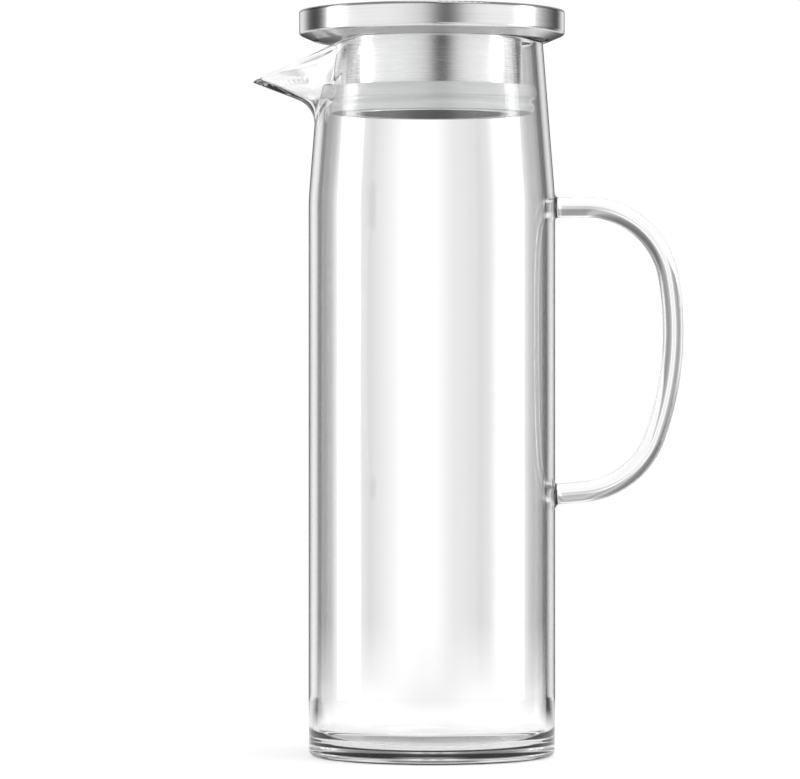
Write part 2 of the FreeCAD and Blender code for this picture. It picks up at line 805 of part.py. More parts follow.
bottom_plate = new_body("bottom_plate")
revolve(
    bottom_plate,
    "polished_disc",
    [
        (zero, core_bottom - cell("bottom_plate_proud")),
        (
            bottom_plate_radius,
            core_bottom - cell("bottom_plate_proud"),
            cell("bottom_plate_proud"),
        ),
        (bottom_plate_radius, recess_top),
        (zero, recess_top),
    ],
)

# ---------------------------------------------------------------------------------------------------
# Checks and export

doc.recompute()
for thing in doc.Objects:
    if "Invalid" in thing.State or "Error" in thing.State:
        raise RuntimeError(f"{thing.Name} failed: {thing.State}")

os.makedirs("parts", exist_ok=True)
pieces = [thing for thing in doc.Objects if thing.TypeId == "PartDesign::Body"]
for piece in pieces:
    shape = piece.Shape
    if shape.isNull() or not shape.isValid() or len(shape.Solids) != 1:
        raise RuntimeError(f"{piece.Label} is not one sound solid")
for piece in pieces:
    piece.Shape.exportStep(f"parts/{piece.Label}.step")
    box = piece.Shape.optimalBoundingBox(False)
    print(
        f"{piece.Label}: {piece.Shape.Volume / 1000:.2f} cm3,",
        f"x {box.XMin:.2f} to {box.XMax:.2f}, y {box.YMin:.2f} to {box.YMax:.2f},",
        f"z {box.ZMin:.2f} to {box.ZMax:.2f}",
    )
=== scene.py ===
# %% [markdown]
# # A glass pitcher with a steel lid
# This notebook dresses a pitcher whose solids were made first, in real sizes. The solids come in
# as a fixed frame. The steel, the plastic and the silicone keep their solids and get finishes.
# The glass is modelled again as one piece, because light goes through it and shows every facet,
# every hard edge and every surface left inside.

import math

import bpy
import numpy as np
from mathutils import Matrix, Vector


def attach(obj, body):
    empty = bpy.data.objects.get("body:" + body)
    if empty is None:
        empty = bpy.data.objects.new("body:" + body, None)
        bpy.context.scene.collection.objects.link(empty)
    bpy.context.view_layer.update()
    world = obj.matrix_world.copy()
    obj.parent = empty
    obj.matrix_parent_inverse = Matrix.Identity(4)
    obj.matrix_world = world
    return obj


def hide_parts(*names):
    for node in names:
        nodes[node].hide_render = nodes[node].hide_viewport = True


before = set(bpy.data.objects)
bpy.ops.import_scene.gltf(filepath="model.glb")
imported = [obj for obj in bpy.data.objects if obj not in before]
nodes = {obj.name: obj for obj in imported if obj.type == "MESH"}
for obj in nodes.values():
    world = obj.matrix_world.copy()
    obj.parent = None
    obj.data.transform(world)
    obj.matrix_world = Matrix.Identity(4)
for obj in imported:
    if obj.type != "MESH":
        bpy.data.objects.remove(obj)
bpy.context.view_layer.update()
MM = 0.001

# %% [markdown]
# ## Edit-mode habits
# An operator acts on whatever is selected, and loading the frame leaves its pieces selected. So
# every new piece starts from an empty selection. A new ring stays selected after each operator,
# which is why ring can follow ring without selecting anything again.


# %% Select one piece or nothing
def nothing_selected():
    if bpy.context.object and bpy.context.object.mode != "OBJECT":
        bpy.ops.object.mode_set(mode="OBJECT")
    bpy.ops.object.select_all(action="DESELECT")


def only(piece):
    """Makes one piece the selected and active one."""
    nothing_selected()
    piece.select_set(True)
    bpy.context.view_layer.objects.active = piece


print("selected after loading:", len(bpy.context.selected_objects))


# %% Read and write a mesh's points
def points_of(piece):
    """The piece's vertex positions as an array, in mm."""
    points = np.empty(len(piece.data.vertices) * 3)
    piece.data.vertices.foreach_get("co", points)
    return points.reshape(-1, 3) / MM


def put_points(piece, points):
    piece.data.vertices.foreach_set("co", (np.asarray(points) * MM).ravel())
    piece.data.update()


# %% [markdown]
# ## Turned pieces
# A glassblower's jug is round because it turns while it is shaped. In Blender the same form can
# be a profile that is spun, or one ring of edges that is extruded and resized again and again.
# The second way is used here: the rings stay in order, and a ring can later be pulled out of
# round to make the spout.


# %% Start and end a run of rings
def first_ring(name, sides, radius, place, rotation=(0, 0, 0)):
    """A filled circle in edit mode, with its edge selected, ready to be extruded."""
    nothing_selected()
    bpy.ops.mesh.primitive_circle_add(
        vertices=sides, radius=radius, location=place, rotation=rotation, fill_type="TRIFAN"
    )
    piece = bpy.context.object
    piece.name = piece.data.name = name
    bpy.ops.object.transform_apply(location=True, rotation=True, scale=True)
    bpy.ops.object.mode_set(mode="EDIT")
    bpy.ops.mesh.select_mode(type="EDGE")
    bpy.ops.mesh.select_all(action="SELECT")
    bpy.ops.mesh.region_to_loop()
    return piece


def next_ring(x, z):
    """Extrudes the open ring by a step along x and z, in metres."""
    bpy.ops.mesh.extrude_region_move(TRANSFORM_OT_translate={"value": (x, 0, z)})


def close_last_ring():
    bpy.ops.mesh.extrude_region_move()
    bpy.ops.mesh.merge(type="CENTER")
    bpy.ops.object.mode_set(mode="OBJECT")


# %% Build a round shape ring by ring
def turned(name, profile, sides):
    """A closed round shape from (radius, height) pairs in mm, filled at both ends."""
    rings = [(radius * MM, height * MM) for radius, height in profile]
    radius, height = rings[0]
    piece = first_ring(name, sides, radius, (0, 0, height))
    for next_radius, next_height in rings[1:]:
        next_ring(0, next_height - height)
        scale = next_radius / radius
        bpy.ops.transform.resize(value=(scale, scale, 1), center_override=(0, 0, next_height))
        radius, height = next_radius, next_height
    close_last_ring()
    return piece


# %% Round the corners of a profile
def round_corner(before, corner, after, radius, steps):
    """Points of the arc that rounds a corner of a profile."""
    before, corner, after = (np.array(p, float) for p in (before, corner, after))
    to_before = (before - corner) / np.linalg.norm(before - corner)
    to_after = (after - corner) / np.linalg.norm(after - corner)
    half = math.acos(float(np.clip(to_before @ to_after, -1, 1))) / 2
    start = corner + to_before * radius / math.tan(half)
    end = corner + to_after * radius / math.tan(half)
    bisector = (to_before + to_after) / np.linalg.norm(to_before + to_after)
    centre = corner + bisector * radius / math.sin(half)
    first = math.atan2(*(start - centre)[::-1])
    sweep = (math.atan2(*(end - centre)[::-1]) - first + math.pi) % (2 * math.pi) - math.pi
    angles = [first + sweep * i / steps for i in range(steps + 1)]
    return [(centre[0] + radius * math.cos(a), centre[1] + radius * math.sin(a)) for a in angles]


def profile_of(corners):
    """A profile from (radius, height) or (radius, height, rounding, steps) corners."""
    points = []
    for i, corner in enumerate(corners):
        if len(corner) == 2:
            points.append(corner)
            continue
        before, after = corners[i - 1][:2], corners[i + 1][:2]
        points += round_corner(before, corner[:2], after, *corner[2:])
    return points


arc = round_corner((0, 0), (10, 0), (10, 10), radius=4, steps=2)
print("a corner rounded in two steps:", [(round(float(r), 1), round(float(z), 1)) for r, z in arc])


# %% [markdown]
# ## The glass jug before its spout is pulled
# The wall is 3.3 mm thick, the floor is thicker, and the rim is melted round in the flame. The
# rings are close together where the form bends: at the heel, the floor's corner, the shoulder,
# the rim and the neck, where the spout will be pulled. They are also close round the handle's
# lower end, because short faces keep the shading clean there.

# %% Sizes of the glass, in mm
BODY_RADIUS, WALL, FLOOR = 47.5, 3.3, 4.8
RIM_HEIGHT, MOUTH_RADIUS = 276.0, 42.7
NECK_START, NECK_LEAN = 231.0, math.radians(4.5)
NECK_SLOPE = math.tan(NECK_LEAN)
INNER_MOUTH = MOUTH_RADIUS - WALL / math.cos(NECK_LEAN)
INNER_RADIUS = BODY_RADIUS - WALL
HEEL_ROUND, FLOOR_ROUND = 2.8, 7.0
RIM_ROUND = (MOUTH_RADIUS - INNER_MOUTH) / 2
RIM_CENTRE = RIM_HEIGHT - RIM_ROUND
HANDLE_DROP, HANDLE_SPAN = 64.4, 110.6
HANDLE_END = RIM_HEIGHT - HANDLE_DROP - HANDLE_SPAN
print(f"inner radius: {INNER_RADIUS:.1f} mm in the body, {INNER_MOUTH:.2f} mm at the rim")

# %% Rings of the wall
JUG_SIDES, NECK_RINGS, RIM_STEPS = 288, 42, 13
SHOULDER_SOFTNESS = 5.0
# The first are measured from the handle's lower end, the others from the ground.
WELD_RINGS = (-24, -16, -11, -8, -6, 6, 8, 11, 16, 24)
UPPER_RINGS = [150.0, 180.0, 195.0, *np.arange(201.0, NECK_START, 2.0)]


def cone(mouth, height):
    """Radius of the neck at a height, or a height array."""
    return mouth + (RIM_HEIGHT - height) * NECK_SLOPE


def wall_rings(mouth, body):
    """Rings from the straight wall over the soft shoulder to the start of the neck."""
    bend, soft = RIM_HEIGHT - (body - mouth) / NECK_SLOPE, SHOULDER_SOFTNESS
    rings = []
    for height in [HANDLE_END + d for d in WELD_RINGS] + UPPER_RINGS:
        past = height - bend
        inwards = past if past > soft else max(past + soft, 0) ** 2 / (4 * soft)
        rings.append((body - inwards * NECK_SLOPE, height))
    return rings


print("rings on one face of the wall:", len(wall_rings(MOUTH_RADIUS, BODY_RADIUS)))


# %% Blow the plain jug
def plain_jug():
    climb = np.linspace(NECK_START, RIM_CENTRE, NECK_RINGS)
    descent = np.linspace(RIM_CENTRE, NECK_START, NECK_RINGS)
    outer_neck = [(cone(MOUTH_RADIUS, z), z) for z in climb]
    inner_neck = [(cone(INNER_MOUTH, z), z) for z in descent]
    middle = (cone(MOUTH_RADIUS, RIM_CENTRE) + cone(INNER_MOUTH, RIM_CENTRE)) / 2
    rim = [
        (middle + RIM_ROUND * math.cos(a), RIM_CENTRE + RIM_ROUND * math.sin(a))
        for a in np.linspace(0, math.pi, RIM_STEPS)[1:-1]
    ]
    # The rings at radius 4 and 25 and at height 30 only divide what is flat or straight.
    heel = [(4.0, 0.0), (25.0, 0.0), (BODY_RADIUS, 0.0, HEEL_ROUND, 8), (BODY_RADIUS, 30.0)]
    floor_corner = (INNER_RADIUS, FLOOR, FLOOR_ROUND, 10)
    floor = [(INNER_RADIUS, 30.0), floor_corner, (25.0, FLOOR), (4.0, FLOOR)]
    outside = profile_of(heel) + wall_rings(MOUTH_RADIUS, BODY_RADIUS) + outer_neck
    inside = inner_neck + wall_rings(INNER_MOUTH, INNER_RADIUS)[::-1] + profile_of(floor)
    return turned("glass_jug", outside + rim + inside, JUG_SIDES)


jug = plain_jug()
print("plain jug:", len(jug.data.vertices), "points")

# %% [markdown]
# ## Pulling the spout
# On the real jug the hot neck is drawn outwards and down with a tool. The outside goes up the
# wall, round a small throat and out along a straight underside to a narrow tip, and its sides are
# slightly hollow. No operator draws such a beak evenly, so the rings stay as extruded and their
# points are moved by the beak's own geometry: each level is the mouth's circle, two hollow arcs
# and a small round nose.


# %% The beak's form, level by level
class Beak:
    """One face of the beak, the outer or the inner one. All lengths are in mm."""

    TIP_REACH, ANGLE = MOUTH_RADIUS + 27.1, math.radians(20.9)
    ROOT_NOSE, SIDE_EASE = 14.0, 46.6
    TOP_LEVEL, LEVELS = 281.0, 5

    def __init__(self, mouth, throat, tip_height, side, nose):
        self.mouth, self.throat, self.side, self.nose = mouth, throat, side, nose
        self.tip_height = tip_height
        slope = math.tan(self.ANGLE)
        wall = mouth + RIM_HEIGHT * NECK_SLOPE + throat / math.cos(NECK_LEAN)
        line = tip_height - self.TIP_REACH * slope - throat / math.cos(self.ANGLE)
        self.centre_height = (line + wall * slope) / (1 + NECK_SLOPE * slope)
        self.centre_reach = wall - self.centre_height * NECK_SLOPE
        self.first = math.pi + NECK_LEAN
        self.last = math.pi / 2 + self.ANGLE
        self.low = self.centre_height + throat * math.sin(self.first)
        self.bend_end = self.centre_height + throat * math.sin(self.last)

    def level(self, height):
        """(reach, side radius, nose radius) at heights in an array."""
        above = np.clip((height - self.centre_height) / self.throat, -1, 1)
        angle = math.pi - np.arcsin(above)
        on_throat = self.centre_reach + self.throat * np.cos(angle)
        on_line = self.TIP_REACH + (height - self.tip_height) / math.tan(self.ANGLE)
        reach = np.where(height < self.bend_end, on_throat, on_line)
        # The nose narrows by four fifths round the throat, and by the rest just above it.
        turn = np.clip((self.first - angle) / (self.first - self.last), 0, 1)
        step = (self.TOP_LEVEL - self.bend_end) / self.LEVELS
        rise = np.clip((height - self.bend_end) / step, 0, 1)
        nose = self.ROOT_NOSE + (self.nose - self.ROOT_NOSE) * (0.8 * turn + 0.2 * rise)
        overrun = np.clip((reach - self.TIP_REACH) / self.SIDE_EASE, 0, None)
        return reach, self.side * (1 + overrun**2), nose

    def radius(self, turn, height):
        """Distance from the axis to the surface, where turn 0 is the beak's own direction."""
        mouth = cone(self.mouth, height)
        reach, side, nose = self.level(height)
        # The nose's centre is at the distance tip from the axis. The hollow side's centre is at
        # the distance far, in the direction split, where the side leaves the mouth's circle.
        tip, far = reach - nose, mouth + side
        across = (far**2 - (side + nose) ** 2 + tip**2) / (2 * tip)
        up = np.sqrt(np.clip(far**2 - across**2, 0, None))
        split = np.arctan2(up, across)
        share = nose / (side + nose)
        nose_turn = np.arctan2(up * share, tip + (across - tip) * share)
        turn = np.abs(turn)
        in_side = np.sqrt(np.clip(side**2 - (far * np.sin(split - turn)) ** 2, 0, None))
        hollow = far * np.cos(split - turn) - in_side
        in_nose = np.sqrt(np.clip(nose**2 - (tip * np.sin(turn)) ** 2, 0, None))
        round_nose = tip * np.cos(turn) + in_nose
        beak = np.where(turn < nose_turn, round_nose, hollow)
        plain = (turn >= split) | (height <= self.low) | (reach <= mouth)
        return np.where(plain, mouth, np.maximum(beak, mouth))


# %% The beak's two faces
BEAK_WALL, THROAT = 2.6, 10.0
TIP_HEIGHT = RIM_HEIGHT - 15.9
INNER_TIP_HEIGHT = TIP_HEIGHT + BEAK_WALL / math.cos(Beak.ANGLE)
outer_beak = Beak(MOUTH_RADIUS, THROAT, TIP_HEIGHT, side=50.0, nose=2.2)
inner_beak = Beak(INNER_MOUTH, THROAT + BEAK_WALL, INNER_TIP_HEIGHT, side=55.0, nose=1.0)
print(f"the beak leaves the neck at a height of {outer_beak.low:.1f} mm")

# %% [markdown]
# ## The sloping rim
# The rim is level behind, and in front it bends softly down to the tip, because the glass was
# drawn downwards there. It is rounded all the way, and lower where the glass gets thin.

# %% Height and rounding of the rim
SLOPE_SETBACK, SLOPE_FALL, SLOPE_BEND = 11.7, math.radians(22.3), 30.0
TIP_ROUND, TIP_SECTOR = 0.75, math.radians(40)
HALVINGS, SEARCH_BELOW = 40, 6.0


def rim_level(reach):
    """Height of the rim's top over a reach towards the tip: level, a soft bend, then a slope."""
    bend = MOUTH_RADIUS - SLOPE_SETBACK
    along = reach - (bend - SLOPE_BEND * math.tan(SLOPE_FALL / 2))
    above_centre = np.sqrt(np.clip(SLOPE_BEND**2 - np.clip(along, 0, None) ** 2, 0, None))
    on_bend = RIM_HEIGHT - SLOPE_BEND + above_centre
    on_slope = RIM_HEIGHT - (reach - bend) * math.tan(SLOPE_FALL)
    sloping = along > SLOPE_BEND * math.sin(SLOPE_FALL)
    return np.where(along <= 0, RIM_HEIGHT, np.where(sloping, on_slope, on_bend))


def rim_dome(turn):
    """Height of the rim's rounding: half the wall round the mouth, and less at the thin tip."""
    share = np.clip(np.abs(turn) / TIP_SECTOR, 0, 1)
    return TIP_ROUND + (RIM_ROUND - TIP_ROUND) * share * share * (3 - 2 * share)


def rim_edge(beak, turn):
    """(radius, height) where one face of the wall meets the rim, found by halving the heights."""
    low = np.full_like(turn, beak.bend_end - SEARCH_BELOW)
    high = np.full_like(turn, RIM_CENTRE)
    for _ in range(HALVINGS):
        middle = (low + high) / 2
        reach = beak.radius(turn, middle) * np.cos(turn)
        below = middle < rim_level(reach) - rim_dome(turn)
        low, high = np.where(below, middle, low), np.where(below, high, middle)
    return beak.radius(turn, low), low


print(f"the rim is {float(rim_level(np.array(Beak.TIP_REACH))):.1f} mm high at the beak's end")


# %% Move the neck's points onto the beak
CROWDING = 0.8
HAIR = 1e-6


def pull_the_spout(piece):
    points = points_of(piece)
    around = np.arctan2(points[:, 1], -points[:, 0])
    distance = np.hypot(points[:, 0], points[:, 1])
    height = points[:, 2]
    # The points of every ring crowd to the spout's side, because its nose is only 2 mm round.
    turn = around - CROWDING * np.sin(around)
    outer_r, outer_z = rim_edge(outer_beak, turn)
    inner_r, inner_z = rim_edge(inner_beak, turn)
    half_wall = (cone(MOUTH_RADIUS, height) - cone(INNER_MOUTH, height)) / 2
    middle = cone(INNER_MOUTH, height) + half_wall
    side = (distance - middle) / half_wall
    share = np.clip((height - NECK_START) / (RIM_CENTRE - NECK_START), 0, 1)
    z_out = NECK_START + share * (outer_z - NECK_START)
    z_in = NECK_START + share * (inner_z - NECK_START)
    r = np.where(side > 0, outer_beak.radius(turn, z_out), inner_beak.radius(turn, z_in))
    z = np.where(side > 0, z_out, z_in)
    # On the rim a point keeps its place on the half circle between the two faces of the wall.
    rise = np.clip((height - RIM_CENTRE) / RIM_ROUND, 0, 1)
    spread = np.clip(side, -1, 1)
    rim_r = (outer_r + inner_r) / 2 + spread * (outer_r - inner_r) / 2
    rim_z = (outer_z + inner_z) / 2 + spread * (outer_z - inner_z) / 2 + rise * rim_dome(turn)
    on_rim, in_neck = height > RIM_CENTRE + HAIR, height > NECK_START - HAIR
    r = np.where(in_neck, np.where(on_rim, rim_r, r), distance)
    z = np.where(in_neck, np.where(on_rim, rim_z, z), height)
    put_points(piece, np.stack([-r * np.cos(turn), r * np.sin(turn), z], axis=1))


pull_the_spout(jug)
print("tip reaches", round(float(-points_of(jug)[:, 0].min()), 2), "mm")

# %% [markdown]
# ## The rod handle
# The handle is one glass rod. It leaves the wall level, bends down, bows along the grip, bends
# back and meets the wall again at a slight slant. A circle is extruded along the straight legs
# and spun round the centre of each bend, so that the bends are true arcs.

# %% Sizes of the handle, in mm
# ROD, BEND and GRIP are radii: of the rod, of its two bends and of the long arc between them.
ROD, ROD_SIDES = 3.95, 32
TOP, BOTTOM = HANDLE_END + HANDLE_SPAN, HANDLE_END
BEND, GRIP = 32.0, 122.0
SLANT = math.radians(5.0)
GRIP_REACH, GRIP_RISE = 41.65, 7.7
GRIP_CENTRE = Vector((BODY_RADIUS + GRIP_REACH + ROD - GRIP, (TOP + BOTTOM) / 2 + GRIP_RISE))
BEND_STEPS, GRIP_STEPS = 26, 22
FLARE, SUNK = 1.3, 1.3
STOPS = [-0.6, 0.0, 0.05, 0.15, 0.3, 0.5, 0.75, 1.0, FLARE, 3.0, 6.0, 12.0]


def bend_centres():
    """The two bends touch the grip's long arc from inside."""
    gap = GRIP - BEND
    top_rise = TOP - BEND - GRIP_CENTRE.y
    top = Vector((GRIP_CENTRE.x + math.sqrt(gap**2 - top_rise**2), TOP - BEND))
    slope = math.tan(SLANT)
    level = BOTTOM + BEND / math.cos(SLANT)
    start = level - slope * BODY_RADIUS - GRIP_CENTRE.y
    a, b = 1 + slope**2, slope * start - GRIP_CENTRE.x
    c = GRIP_CENTRE.x**2 + start**2 - gap**2
    reach = (-b + math.sqrt(b * b - a * c)) / a
    return top, Vector((reach, level + slope * (reach - BODY_RADIUS)))


TOP_BEND, BOTTOM_BEND = bend_centres()
print("bend centres:", TOP_BEND, BOTTOM_BEND)


# %% Draw the rod
def spin_rod(centre, start, end, steps):
    """Spins the rod's open end round a bend's centre, from one point of its line to the next."""
    sweep = (start - centre).angle_signed(end - centre)
    pivot = (centre.x * MM, 0, centre.y * MM)
    bpy.ops.mesh.spin(steps=steps, angle=-sweep, center=pivot, axis=(0, 1, 0))


def straight_on(direction, stops):
    """Extrudes the open end along a straight leg, with a ring at each distance from its start."""
    travelled = 0.0
    for stop in stops:
        step = direction * (stop - travelled) * MM
        next_ring(step.x, step.y)
        travelled = stop


def rod_handle():
    start = ((BODY_RADIUS - SUNK) * MM, 0, TOP * MM)
    rod = first_ring("glass_handle_rod", ROD_SIDES, ROD * MM, start, (0, math.pi / 2, 0))
    straight_on(Vector((1, 0)), [d + SUNK for d in STOPS] + [TOP_BEND.x - BODY_RADIUS + SUNK])
    into_top = TOP_BEND + Vector((0, BEND))
    into_grip = GRIP_CENTRE + (TOP_BEND - GRIP_CENTRE).normalized() * GRIP
    into_bottom = GRIP_CENTRE + (BOTTOM_BEND - GRIP_CENTRE).normalized() * GRIP
    leave = BOTTOM_BEND + Vector((math.sin(SLANT), -math.cos(SLANT))) * BEND
    spin_rod(TOP_BEND, into_top, into_grip, BEND_STEPS)
    spin_rod(GRIP_CENTRE, into_grip, into_bottom, GRIP_STEPS)
    spin_rod(BOTTOM_BEND, into_bottom, leave, BEND_STEPS)
    run = (leave.x - BODY_RADIUS) / math.cos(SLANT)
    back = Vector((-math.cos(SLANT), -math.sin(SLANT)))
    # A ring less than 1 mm from the bend would make faces too thin to shade well.
    straight_on(back, [run - d for d in reversed(STOPS) if d < run - 1] + [run + SUNK])
    close_last_ring()
    return rod


rod = rod_handle()
print("rod:", len(rod.data.vertices), "points")

# %% [markdown]
# ## Melting the handle on
# Where it is melted on, the rod flares and wraps the wall. Then it is joined to the jug, because
# the melted glass has no surface in between. The end that is sunk in the wall is a little thinner
# than the flare, so that the wall's surface cuts the rod in one clean line.

# %% Spread both ends of the rod
FOOT_LENGTH, FOOT_HALF, WRAP_FADE = 14.0, 9.0, 8.0
SUNK_FROM, SUNK_THINNER = -0.3, 0.4


def flare_the_ends(rod):
    """Spreads each end of the rod where it is melted on, and wraps it round the wall."""
    points = points_of(rod)
    feet = (Vector((BODY_RADIUS, TOP)), 0.0), (Vector((BODY_RADIUS, BOTTOM)), SLANT)
    for foot, lean in feet:
        ahead = np.array([math.cos(lean), math.sin(lean)])
        aside = np.array([-math.sin(lean), math.cos(lean)])
        flat = points[:, [0, 2]] - np.array(foot)
        run, up = flat @ ahead, flat @ aside
        near = (run < FOOT_LENGTH) & (np.abs(up) < FOOT_HALF)
        left = np.clip(FLARE - run, 0, FLARE)
        radius = ROD + FLARE - np.sqrt(np.clip(FLARE**2 - left**2, 0, None))
        radius = np.where(run < SUNK_FROM, radius - SUNK_THINNER, radius)
        grow = np.where(near, radius / ROD, 1.0)
        wrapped_y = points[:, 1] * grow
        off_centre = np.clip(wrapped_y, -FOOT_HALF, FOOT_HALF)
        sagitta = BODY_RADIUS - np.sqrt(BODY_RADIUS**2 - off_centre**2)
        fade = np.clip(1 - (run - FLARE) / WRAP_FADE, 0, 1)
        run_new = run - np.where(near, sagitta * fade * fade * (3 - 2 * fade), 0)
        up_new = up * grow
        moved = np.array(foot) + run_new[:, None] * ahead + up_new[:, None] * aside
        points[:, 0] = np.where(near, moved[:, 0], points[:, 0])
        points[:, 2] = np.where(near, moved[:, 1], points[:, 2])
        points[:, 1] = np.where(near, wrapped_y, points[:, 1])
    put_points(rod, points)


flare_the_ends(rod)
print("widest across the rod's ends:", round(float(np.ptp(points_of(rod)[:, 1])), 1), "mm")


# %% Settle both pieces and join them
SEAM = 1e-7


def settle(piece):
    """Closes seams, turns the faces outwards, smooths the shading and applies the place."""
    only(piece)
    bpy.ops.object.transform_apply(location=True, rotation=True, scale=True)
    bpy.ops.object.mode_set(mode="EDIT")
    bpy.ops.mesh.select_all(action="SELECT")
    bpy.ops.mesh.remove_doubles(threshold=SEAM)
    bpy.ops.mesh.normals_make_consistent(inside=False)
    bpy.ops.object.mode_set(mode="OBJECT")
    bpy.ops.object.shade_smooth()
    print(f"{piece.name}: {len(piece.data.polygons)} faces")


def melt_together(piece, other):
    only(piece)
    join = piece.modifiers.new("melted_on", "BOOLEAN")
    join.operation, join.solver, join.object = "UNION", "EXACT", other
    bpy.ops.object.modifier_apply(modifier=join.name)
    bpy.data.objects.remove(other)


settle(rod)
settle(jug)
melt_together(jug, rod)
settle(jug)
jug.name = jug.data.name = "glass_jug_with_handle"
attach(jug, "pitcher")
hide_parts("glass_body", "glass_handle")

# %% [markdown]
# ## Shader arithmetic
# A finish is mostly arithmetic on positions. The first class below adds nodes to one material or
# to the world. The second wraps a node's output, so that a pattern is written as an expression,
# and each operator adds its Math node.


# %% Add nodes to a material
class Finish:
    """One material or world under construction."""

    def __init__(self, owner):
        owner.use_nodes = True
        self.tree = owner.node_tree
        self.tree.nodes.clear()

    def node(self, kind, settings=None, **inputs):
        """Adds a node, its settings first and then its sockets, and gives it back."""
        node = self.tree.nodes.new(kind)
        for name, value in (settings or {}).items():
            if name == "stops":
                self.set_stops(node.color_ramp, value)
            else:
                setattr(node, name, value)
        for name, value in inputs.items():
            socket = self.socket(node, name)
            if isinstance(value, Value):
                self.tree.links.new(value.output, socket)
            else:
                socket.default_value = value
        return node

    def set_stops(self, ramp, stops):
        """Replaces a ramp's stops by (place, grey) or (place, colour) pairs."""
        while len(ramp.elements) > 1:
            ramp.elements.remove(ramp.elements[-1])
        for i, (place, shade) in enumerate(stops):
            stop = ramp.elements[0] if i == 0 else ramp.elements.new(place)
            stop.position = place
            stop.color = (*shade, 1) if isinstance(shade, tuple) else (shade, shade, shade, 1)

    def socket(self, node, name):
        """A name is written with _ for a space. s0, s1 and so on pick a socket by its place."""
        if name[0] == "s" and name[1:].isdigit():
            return node.inputs[int(name[1:])]
        wanted = name.replace("_", " ")
        return next(s for s in node.inputs if s.name.lower() == wanted.lower() and s.enabled)

    def value(self, kind, settings=None, output=0, **inputs):
        return Value(self, self.node(kind, settings, **inputs).outputs[output])

    def mixed(self, first, second, share):
        """Mixes two shaders: all first at a share of 0, all second at 1."""
        mix = self.node("ShaderNodeMixShader", Fac=share)
        self.tree.links.new(first.outputs[0], mix.inputs[1])
        self.tree.links.new(second.outputs[0], mix.inputs[2])
        return mix


# %% A socket that does arithmetic
class Value:
    """A node's output that can be added, multiplied and so on."""

    def __init__(self, finish, output):
        self.finish, self.output = finish, output

    def math(self, operation, other=0.0, swapped=False):
        first, second = (other, self) if swapped else (self, other)
        return self.finish.value("ShaderNodeMath", {"operation": operation}, s0=first, s1=second)

    def __add__(self, other):
        return self.math("ADD", other)

    def __radd__(self, other):
        return self.math("ADD", other, True)

    def __sub__(self, other):
        return self.math("SUBTRACT", other)

    def __rsub__(self, other):
        return self.math("SUBTRACT", other, True)

    def __mul__(self, other):
        return self.math("MULTIPLY", other)

    def __rmul__(self, other):
        return self.math("MULTIPLY", other, True)

    def __truediv__(self, other):
        return self.math("DIVIDE", other)

    def __rtruediv__(self, other):
        return self.math("DIVIDE", other, True)


# %% Words for what the finishes share
def new_material(name):
    material = bpy.data.materials.new(name)
    return material, Finish(material)


def split(finish, vector):
    parts = finish.node("ShaderNodeSeparateXYZ", Vector=vector)
    return [Value(finish, parts.outputs[i]) for i in range(3)]


def place_on_piece(finish):
    """x, y, z in metres. The objects stand at the origin, so this is the place in the room."""
    return split(finish, finish.value("ShaderNodeTexCoord", output=3))


def from_axis(x, y):
    return (x * x + y * y).math("SQRT")


def grain(finish, x, y, z, detail, **more):
    """Noise that is read at a stretched place, so that it has spots, rings or streaks."""
    place = finish.value("ShaderNodeCombineXYZ", X=x, Y=y, Z=z)
    return finish.value("ShaderNodeTexNoise", Vector=place, Scale=1.0, Detail=detail, **more)


def faded(value, start, length):
    """0 up to a start, then rising to 1 over a length."""
    return ((value - start) / length).math("MAXIMUM", 0.0).math("MINIMUM", 1.0)


def surface(finish, shader, volume=None):
    out = finish.node("ShaderNodeOutputMaterial")
    finish.tree.links.new(shader.outputs[0], out.inputs["Surface"])
    if volume is not None:
        finish.tree.links.new(volume.outputs[0], out.inputs["Volume"])


def dress(piece, material):
    piece.data.materials.clear()
    piece.data.materials.append(material)
    print(f"{piece.name} is {material.name}, {len(material.node_tree.nodes)} nodes")


# %% [markdown]
# ## Clear glass
# Borosilicate glass bends light a little less than window glass. It has hardly any colour. What
# shows it is the dark and bright surroundings that its edges pull in, so the finish is plain
# refraction with a trace of absorption and the slow ripple of drawn glass. A renderer blocks
# lamplight at glass that it can't look straight through, so rays that look for a lamp may pass,
# as real light would.

# %% Glass
LAMPLIGHT_THROUGH = 0.65


def clear_glass():
    material, finish = new_material("clear_glass")
    x, y, z = place_on_piece(finish)
    ripple = grain(finish, x * 22, y * 22, z * 9, 1.0)
    glass = finish.node(
        "ShaderNodeBsdfPrincipled",
        Base_Color=(0.992, 0.992, 0.992, 1),
        Roughness=0.0,
        IOR=1.474,
        Transmission_Weight=1.0,
        Normal=finish.value("ShaderNodeBump", Strength=0.15, Distance=0.0006, Height=ripple),
    )
    absorb = finish.node("ShaderNodeVolumeAbsorption", Color=(0.905, 0.91, 0.91, 1), Density=9.0)
    # Light from the lamps goes through to what stands inside, and the jug's shadow stays faint.
    rays = finish.node("ShaderNodeLightPath")
    to_lamp = Value(finish, rays.outputs["Is Shadow Ray"])
    open_way = finish.node("ShaderNodeBsdfTransparent", Color=(0.93, 0.94, 0.94, 1))
    surface(finish, finish.mixed(glass, open_way, to_lamp * LAMPLIGHT_THROUGH), absorb)
    return material


dress(jug, clear_glass())

# %% [markdown]
# ## Brushed steel
# The lid is steel, brushed while it turns, so the scratches run round the axis. They show as
# faint rings and streaks. The pattern depends on height and on the distance from the axis, and
# only slowly on the angle. Scratches also stretch every reflection across them, and that is what
# the shader's anisotropy does: the soft boxes stay sharp round the lid and run long up and down.

# %% Steel finishes
FINE_RINGS, WIDE_RINGS = 9000, 1700
# Where the painted shade along the cap's top edge starts, and how soft its border is.
CAP_EDGE_HEIGHT, CAP_EDGE_RADIUS, EDGE_FADE = 0.2860, 0.0498, 0.0004


